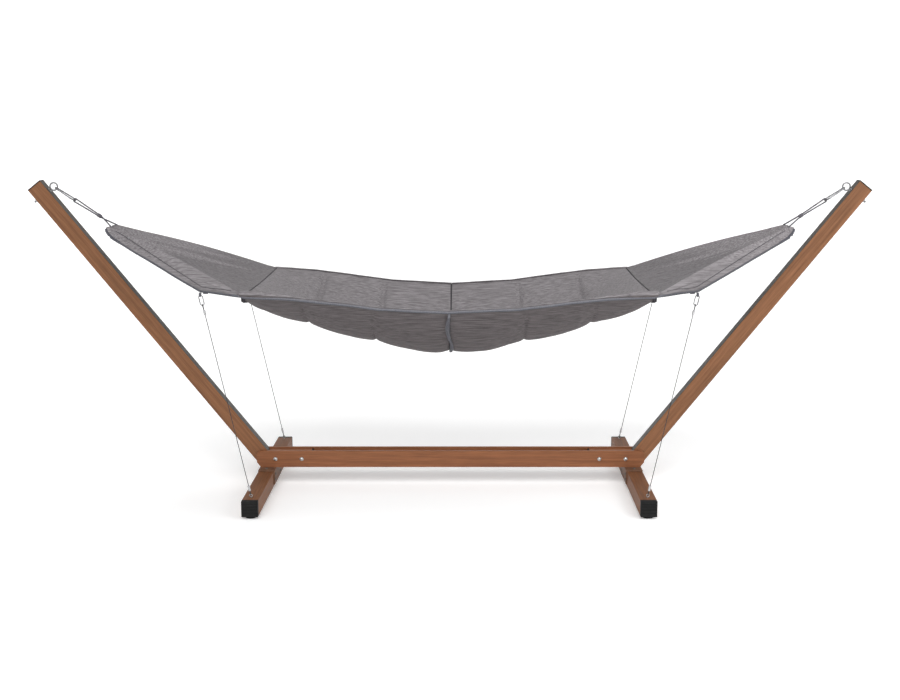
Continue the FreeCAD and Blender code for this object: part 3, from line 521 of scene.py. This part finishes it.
def sail_point(x, t, seed):
    """Point on the sail: t is -1 and 1 on the hems, and the ridges lie at -RIDGE and RIDGE."""
    u, wide, high = ridge_line(min(x, TIP_HALF))
    high += 0.014 * math.sin(math.pi * u) + 0.004 * max(0.0, (u - 0.85) / 0.15)
    middle = 0.933 + 0.217 * u - 0.026 * math.sin(math.pi * u)
    reach = abs(t) / RIDGE
    pull = min(1.0, 14 * u, 14 * (1 - u))
    fan = noise.noise(Vector((t * 7.0, u * 1.2, seed))) * 0.011 * pull * (1.2 - u)
    fan += noise.noise(Vector((t * 22.0, u * 2.0, seed + 5))) * 0.0035 * pull * (1.2 - u)
    for place in (-0.72, 0.72):
        apart = math.hypot((t - place) * 1.5 * wide, x - 1.405)
        angle = math.atan2(x - 1.405, (t - place) * wide)
        fan += 0.006 * math.exp(-(apart / 0.022) ** 2) * (math.cos(5 * angle) * min(1.0, apart / 0.012) - 0.6)
    if reach <= 1:
        spot = Vector((x, wide * reach, middle + (high - middle) * reach * reach))
        spot.z += fan * (1 - reach ** 6)
    else:
        f = (abs(t) - RIDGE) / (1 - RIDGE)
        ridge, edge = Vector((x, wide, high)), hem_point(x)
        spot = ridge.lerp(edge, f)
        normal = Vector((0, ridge.z - edge.z, edge.y - ridge.y)).normalized()
        belly = math.sin(math.pi * f)
        spot += normal * (0.5 * fan - 0.006 * pull) * belly
        width = (edge - ridge).length
        if width * (1 - f) < 0.036:
            spot += normal * 0.0012
    return Vector((x, math.copysign(spot.y, t), spot.z - 0.006 * max(0.0, (x - ROUND_FROM) / ROUND_REACH) ** 2))


# Painted light: a copy of the pad cloth whose side flaps, facing front and back, are painted lighter and whose
# sagging middle is painted darker, as light falls on them.
sail_weave_painted_light = cloth_weave.copy()
sail_weave_painted_light.name = "heather_sail_painted_light"
sail_tree = sail_weave_painted_light.node_tree
sail_shader = sail_tree.nodes["Principled BSDF"]
sail_painted_light_colour = sail_shader.inputs["Base Color"].links[0].from_socket
for way in (1, -1):
    painted_flap_light = facing(sail_tree, (0, way, 0), 0.16, 0.36)
    sail_painted_light_colour = tinted(sail_tree, sail_painted_light_colour, painted_flap_light, (1.38, 1.38, 1.38))
sail_tree.links.new(tinted(sail_tree, sail_painted_light_colour, 1.0, (0.79, 0.79, 0.79)), sail_shader.inputs["Base Color"])


def tip_round(x):
    """Share of the side flap left at x: the flap's end is cut to a rounded corner."""
    return math.sqrt(max(0.02, 1 - max(0.0, (x - ROUND_FROM) / ROUND_REACH) ** 2))


for side, s in SIDES:
    seed = 31.0 if s > 0 else 47.0
    sail = bmesh.new()
    bmesh.ops.create_grid(sail, x_segments=130, y_segments=150, size=1)
    for vert in sail.verts:
        x = 0.8506 + (vert.co.x + 1) / 2 * (TIP_HALF + 0.018 - 0.8506)
        t = vert.co.y
        if abs(t) > RIDGE:
            t = math.copysign(RIDGE + (abs(t) - RIDGE) * tip_round(x), t)
        spot = sail_point(x, t, seed)
        vert.co = (s * spot.x, s * spot.y, spot.z)
    cloth = finished("sail_cloth_" + side, sail, sail_weave_painted_light, "hammock", ["sail_" + side])
    skin = cloth.modifiers.new("cloth_thickness", "SOLIDIFY")
    skin.thickness = 0.0022
    skin.offset = -1


# Edge tape: grey-blue bias tape folded over the long edges and sewn through, rolled outwards by
# the pull of the cloth.
# Its last tint is painted shade on the faces that look down.
tape_weave = woven("edge_tape", (0.115, 0.116, 0.132), (0.21, 0.212, 0.235), (300, 300, 300),
                   (1300, 1300, 1300), 0.06, (0.6, 0.6, 0.62))
tape_tree = tape_weave.node_tree
tape_shader = tape_tree.nodes["Principled BSDF"]
tape_place = add_node(tape_tree, "SeparateXYZ")
tape_reach = add_node(tape_tree, "Math", operation="ABSOLUTE")
tape_mask = add_node(tape_tree, "MapRange")
tape_mask.inputs["From Min"].default_value, tape_mask.inputs["From Max"].default_value = 0.85, 0.9
tape_tree.links.new(add_node(tape_tree, "TexCoord").outputs["Object"], tape_place.inputs[0])
tape_tree.links.new(tape_place.outputs["X"], tape_reach.inputs[0])
tape_tree.links.new(tape_reach.outputs[0], tape_mask.inputs["Value"])
tape_colour = tape_shader.inputs["Base Color"].links[0].from_socket
tape_tree.links.new(tinted(tape_tree, tape_colour, tape_mask.outputs[0], (0.55, 0.55, 0.56)),
                    tape_shader.inputs["Base Color"])


def swept_strip(name, centres, ups, half_wide, half_high, skin, body, replaced, count=12):
    """Flattened tube through a row of centres. ups gives the tall direction at each."""
    strip = bmesh.new()
    ring = bmesh.ops.create_circle(strip, cap_ends=True, segments=count, radius=1)["verts"]
    rows = [(c, u, a, b) for c, u, a, b in zip(centres, ups, half_wide, half_high)]

    def lay(verts, index):
        centre, up, a, b = rows[index]
        before, after = centres[max(index - 1, 0)], centres[min(index + 1, len(centres) - 1)]
        way = (after - before).normalized()
        tall = (up - way * up.dot(way)).normalized()
        flat = tall.cross(way)
        for k, vert in enumerate(verts):
            angle = 2 * math.pi * k / count
            vert.co = centre + flat * (a * math.cos(angle)) + tall * (b * math.sin(angle))

    lay(ring, 0)
    loop = [edge for edge in strip.edges]
    for index in range(1, len(rows)):
        made = bmesh.ops.extrude_edge_only(strip, edges=loop)["geom"]
        fresh = [item for item in made if isinstance(item, bmesh.types.BMVert)]
        loop = [item for item in made if isinstance(item, bmesh.types.BMEdge)
                and item.verts[0] in fresh and item.verts[1] in fresh]
        linked = {edge.other_vert(vert): vert for vert in fresh for edge in vert.link_edges
                  if edge.other_vert(vert) not in fresh}
        fresh = [linked[vert] for vert in ring]
        lay(fresh, index)
        ring = fresh
    bmesh.ops.edgeloop_fill(strip, edges=loop)
    bmesh.ops.recalc_face_normals(strip, faces=strip.faces)
    return finished(name, strip, skin, body, replaced)


for place, far in PLACES:
    centres, ups, wides, highs = [], [], [], []
    count = 260
    for k in range(count + 1):
        x = -TIP_HALF + 2 * TIP_HALF * k / count
        reach = abs(x)
        if reach <= PAD_HALF:
            y, z = pad_half_width(reach), along(EDGE_LINE, reach) - (0.0065 if far < 0 else 0.0105)
            wide, high = 0.0040, 0.0056
        else:
            edge = hem_point(reach)
            y, z = edge.y, edge.z - 0.002
            ease_in = min(1.0, (reach - PAD_HALF) / 0.1)
            wide, high = 0.0040 - 0.0006 * ease_in, 0.0056 - 0.0010 * ease_in
        sway = noise.noise(Vector((x * 9.0, far * 3.0, 0.5)))
        centres.append(Vector((x, far * (y + 0.001 + 0.0012 * sway), z + 0.0022 * sway)))
        ups.append(Vector((0, far * 0.25, 1)))
        wides.append(wide * (1 + 0.12 * noise.noise(Vector((x * 30, 7, far)))))
        highs.append(high)
    swept_strip("bias_tape_" + place, centres, ups, wides, highs, tape_weave, "hammock",
                ["edge_tape_" + place])

# Hem stitching: one row of dark thread about 38 mm in from each sloping edge, where the cloth is
# turned under and sewn down. The row stops short of the tip and of the pad.
HEM_WIDTH = 0.038
thread = woven("dark_thread", (0.05, 0.048, 0.052), (0.12, 0.115, 0.125), (700, 700, 700),
               (1500, 1500, 1500), 0.0)
for side, s in SIDES:
    seed = 31.0 if s > 0 else 47.0
    for place, far in PLACES:
        centres, ups = [], []
        for k in range(90):
            x = 0.90 + 0.575 * k / 89
            width = (hem_point(x) - Vector((x, *ridge_line(x)[1:]))).length
            f = max(0.25, 1 - HEM_WIDTH / width)
            spot = sail_point(x, far * s * (RIDGE + (1 - RIDGE) * f), seed)
            centres.append(Vector((s * spot.x, s * spot.y, spot.z + 0.0006)))
            ups.append(Vector((0, far * 0.6, 0.8)))
        swept_strip("hem_stitch_%s_%s" % (place, side), centres, ups, [0.0016] * 90, [0.0012] * 90, thread,
                    "hammock", [], 6)

# Rolled rims: the pads' own cloth is turned over the tape along both long edges and stands up as a
# soft roll, which swells at the ends of the front edge, with a small bound lump under each end.
# Painted shade: a near-black cloth for the shade at the pads' seam ends, at the rim lumps and in the gap
# between the two pads.
seam_painted_shade = woven("seam_painted_shade", (0.018, 0.017, 0.019), (0.048, 0.046, 0.052), (300, 300, 300),
                   (1300, 1300, 1300), 0.03)
for place, far in PLACES:
    centres, ups, wides, highs = [], [], [], []
    for k in range(241):
        x = -0.868 + 1.736 * k / 240
        reach = min(abs(x), PAD_HALF)
        full = min(1.0, max(0.0, (abs(x) - 0.50) / 0.28)) ** 2
        thin, thick = (0.0032, 0.0120) if far < 0 else (0.0026, 0.002)
        swell = thin + 0.0008 * noise.noise(Vector((x * 8.0, far * 2.0, 4.0))) + thick * full
        close = math.sqrt(max(0.05, 1 - max(0.0, (abs(x) - 0.846) / 0.022) ** 2))
        lean_out = 0.0016 * noise.noise(Vector((x * 6.0, 1.0, far)))
        centres.append(Vector((x, far * (pad_half_width(reach) - 0.006 + lean_out),
                               along(EDGE_LINE, reach) + 0.001 + 0.5 * (swell - 0.0032))))
        ups.append(Vector((0, far * -0.5, 1)))
        wides.append(1.15 * close * swell)
        highs.append(swell * close)
    swept_strip("rolled_rim_" + place, centres, ups, wides, highs, cloth_weave, "hammock", [])
    for side, s in SIDES:
        # The lumps are coloured with the painted seam shade.
        spots = [Vector((s * 0.843, far * 0.495, 0.931 - 0.021 * k / 6)) for k in range(7)]
        sizes = [0.0064 * math.sqrt(max(0.15, 1 - ((k - 3) / 3.4) ** 2)) for k in range(7)]
        swept_strip("rim_end_%s_%s" % (place, side), spots, [Vector((0, 1, 0))] * 7, sizes, sizes,
                    seam_painted_shade, "hammock", [], 10)

# Eyelets: small pressed metal rings in the side flaps of each sail, near the tip. Each is a fine
# ring that lies on the cloth.
for side, s in SIDES:
    seed = 31.0 if s > 0 else 47.0
    for place, far in PLACES:
        middle = sail_point(1.402, far * s * 0.70, seed)
        centres = [Vector((s * middle.x + 0.0042 * math.cos(2 * math.pi * k / 24.4),
                           s * middle.y + 0.0036 * math.sin(2 * math.pi * k / 24.4),
                           middle.z + 0.0022 - far * 0.0020 * math.sin(2 * math.pi * k / 24.4)))
                   for k in range(25)]
        swept_strip("eyelet_%s_%s" % (place, side), centres, [Vector((0, far * 0.5, 0.86))] * 25,
                    [0.0013] * 25, [0.0011] * 25, ferrule_alloy, "hammock", [], 8)

# Seams: bound seam allowances left hanging under the cloth, a deep wavy one in the middle and a
# short one at each end of the pads.
dark_tape = woven("seam_tape", (0.05, 0.05, 0.06), (0.115, 0.115, 0.135), (300, 300, 300),
                  (1300, 1300, 1300), 0.06)
for name, spot, drop, thick, wave in (("seam_flange_middle", 0.0, 0.016, 0.0105, 0.013),
                                      ("seam_flange_right", 0.851, 0.012, 0.0056, 0.0),
                                      ("seam_flange_left", -0.851, 0.012, 0.0056, 0.0)):
    flange = bmesh.new()
    bmesh.ops.create_grid(flange, x_segments=8, y_segments=150, size=1)
    reach = min(abs(spot), PAD_HALF)
    for vert in flange.verts:
        depth, share = (1 - vert.co.x) / 2, 0.995 * vert.co.y
        top = pad_face(reach, share, True) + (-0.006 if reach == 0 else 0.0015)
        low = pad_face(reach, share, False) - drop - 0.0025 * math.sin(23 * share) * (wave > 0)
        sway = -wave * depth ** 2 * math.sin(2 * math.pi * (1 - abs(share) ** 2.2))
        vert.co = (spot + sway, share * pad_half_width(reach), top + (low - top) * depth)
    replaced = ["seam_middle"] if reach == 0 else ["seam_ends"]
    # The end flanges take the painted seam shade; the middle one keeps the tape's colour.
    strip = finished(name, flange, tape_weave if reach == 0 else seam_painted_shade, "hammock", replaced)
    body = strip.modifiers.new("tape_thickness", "SOLIDIFY")
    body.thickness = thick
    body.offset = 0

# A dark bead along the seam on top: painted shade of the gap where the two pads meet.
bead = [Vector((0, 0.455 * (k - 40) / 40, pad_face(0, (k - 40) / 40.4, True) + 0.0005)) for k in range(81)]
swept_strip("seam_gap_painted_shade", bead, [Vector((0, 0, 1))] * 81, [0.0028] * 81, [0.0016] * 81, seam_painted_shade,
            "hammock", [], 8)

# Tips: the gathered end of each sail is turned over in a wide dark band, and each hook corner has
# a short loop of webbing.
for side, s in SIDES:
    seed = 31.0 if s > 0 else 47.0
    outline = [(1.446 + 0.0055 * k, 1) for k in range(5)]
    outline += [(ROUND_FROM + 0.0445 * math.sin(math.pi / 2 * k / 12), 1) for k in range(1, 13)]
    outline = [(x, RIDGE + (1 - RIDGE) * tip_round(x)) for x, t in outline]
    outline += [(1.5185, RIDGE * (1 - k / 10)) for k in range(1, 11)]
    outline += [(x, -t) for x, t in reversed(outline[:-1])]
    centres, ups = [], []
    for x, t in outline:
        spot = sail_point(x, t, seed)
        centres.append(Vector((s * spot.x, s * spot.y, spot.z - 0.001)))
        ups.append(Vector((s * 0.5, s * math.copysign(0.5, t), -0.4)))
    wides, highs = [0.0045] * len(outline), [0.0062] * len(outline)
    swept_strip("tip_band_" + side, centres, ups, wides, highs, dark_tape, "hammock", ["tip_bands"])
    for place, far in PLACES:
        centres, ups = [], []
        middle = Vector((s * CORNER_HALF, far * 0.502, 0.945))
        for k in range(33):
            angle = 2 * math.pi * k / 32.5
            centres.append(middle + Vector((0, 0.008 * math.cos(angle), 0.008 * math.sin(angle))))
            ups.append(Vector((1, 0, 0)))
        tab = [Vector((s * (0.988 + 0.004 * k), far * 0.5005, 0.9525)) for k in range(6)]
        swept_strip("corner_tab_%s_%s" % (place, side), tab, [Vector((0, 0, 1))] * 6, [0.0022] * 6,
                    [0.0052] * 6, dark_tape, "hammock", [], 8)
        swept_strip("corner_loop_%s_%s" % (place, side), centres, ups, [0.0013] * 33, [0.0042] * 33,
                    dark_tape, "hammock", ["corner_loops"], 8)
